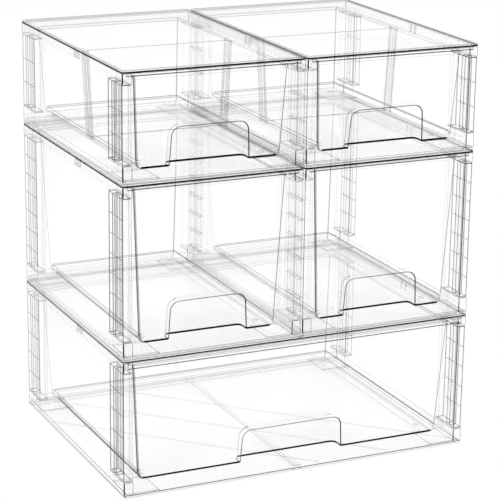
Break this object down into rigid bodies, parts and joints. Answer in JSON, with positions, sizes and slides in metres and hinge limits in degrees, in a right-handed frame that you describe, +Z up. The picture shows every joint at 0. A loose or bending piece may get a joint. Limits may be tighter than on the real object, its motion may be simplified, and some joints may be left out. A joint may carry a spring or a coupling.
{
  "type": "stackable drawer box",
  "caption": "Clear plastic stack of drawer units on knock-down ladder-post frames, with tub drawers that slide out by an arched finger recess and lift-out dividers.",
  "frame": {"origin": "centre of the footprint on the surface that the stack stands on", "axes": "+Z up, drawers open towards -Y, +X to the right of someone who faces the drawers"},
  "size_m": [0.37, 0.278, 0.4147],
  "materials": {
    "clear_frame": "clear moulded plastic, glossy",
    "clear_drawer": "clear moulded plastic, glossy"
  },
  "bodies": {
    "wide_frame": {"wide_base": "clear_frame", "wide_top": "clear_frame", "wide_post_front_left": "clear_frame", "wide_post_front_right": "clear_frame", "wide_post_rear_left": "clear_frame", "wide_post_rear_right": "clear_frame"},
    "wide_drawer": {"wide_drawer": "clear_drawer"},
    "medium_left_frame": {"medium_left_base": "clear_frame", "medium_left_top": "clear_frame", "medium_left_post_front_left": "clear_frame", "medium_left_post_front_right": "clear_frame", "medium_left_post_rear_left": "clear_frame", "medium_left_post_rear_right": "clear_frame"},
    "medium_left_drawer": {"medium_left_drawer": "clear_drawer"},
    "medium_right_frame": {"medium_right_base": "clear_frame", "medium_right_top": "clear_frame", "medium_right_post_front_left": "clear_frame", "medium_right_post_front_right": "clear_frame", "medium_right_post_rear_left": "clear_frame", "medium_right_post_rear_right": "clear_frame"},
    "medium_right_drawer": {"medium_right_drawer": "clear_drawer"},
    "small_left_frame": {"small_left_base": "clear_frame", "small_left_top": "clear_frame", "small_left_post_front_left": "clear_frame", "small_left_post_front_right": "clear_frame", "small_left_post_rear_left": "clear_frame", "small_left_post_rear_right": "clear_frame"},
    "small_left_drawer": {"small_left_drawer": "clear_drawer"},
    "small_left_divider": {"small_left_divider": "clear_drawer"},
    "small_right_frame": {"small_right_base": "clear_frame", "small_right_top": "clear_frame", "small_right_post_front_left": "clear_frame", "small_right_post_front_right": "clear_frame", "small_right_post_rear_left": "clear_frame", "small_right_post_rear_right": "clear_frame"},
    "small_right_drawer": {"small_right_drawer": "clear_drawer"},
    "small_right_divider": {"small_right_divider": "clear_drawer"}
  },
  "joints": [
    {"name": "wide_drawer_slide", "type": "slide", "parent": "wide_frame", "child": "wide_drawer", "axis": [0, -1, 0], "range_m": [0, 0.2]},
    {"name": "medium_left_drawer_slide", "type": "slide", "parent": "medium_left_frame", "child": "medium_left_drawer", "axis": [0, -1, 0], "range_m": [0, 0.2]},
    {"name": "medium_right_drawer_slide", "type": "slide", "parent": "medium_right_frame", "child": "medium_right_drawer", "axis": [0, -1, 0], "range_m": [0, 0.2]},
    {"name": "small_left_drawer_slide", "type": "slide", "parent": "small_left_frame", "child": "small_left_drawer", "axis": [0, -1, 0], "range_m": [0, 0.2]},
    {"name": "small_right_drawer_slide", "type": "slide", "parent": "small_right_frame", "child": "small_right_drawer", "axis": [0, -1, 0], "range_m": [0, 0.2]},
    {"name": "medium_left_lift_off", "type": "slide", "parent": "wide_frame", "child": "medium_left_frame", "axis": [0, 0, 1], "range_m": [0, 0.05]},
    {"name": "small_left_lift_off", "type": "slide", "parent": "medium_left_frame", "child": "small_left_frame", "axis": [0, 0, 1], "range_m": [0, 0.05]},
    {"name": "medium_right_lift_off", "type": "slide", "parent": "wide_frame", "child": "medium_right_frame", "axis": [0, 0, 1], "range_m": [0, 0.05]},
    {"name": "small_right_lift_off", "type": "slide", "parent": "medium_right_frame", "child": "small_right_frame", "axis": [0, 0, 1], "range_m": [0, 0.05]},
    {"name": "small_left_divider_lift", "type": "slide", "parent": "small_left_drawer", "child": "small_left_divider", "axis": [0, 0, 1], "range_m": [0, 0.0035]},
    {"name": "small_right_divider_lift", "type": "slide", "parent": "small_right_drawer", "child": "small_right_divider", "axis": [0, 0, 1], "range_m": [0, 0.0035]}
  ]
}
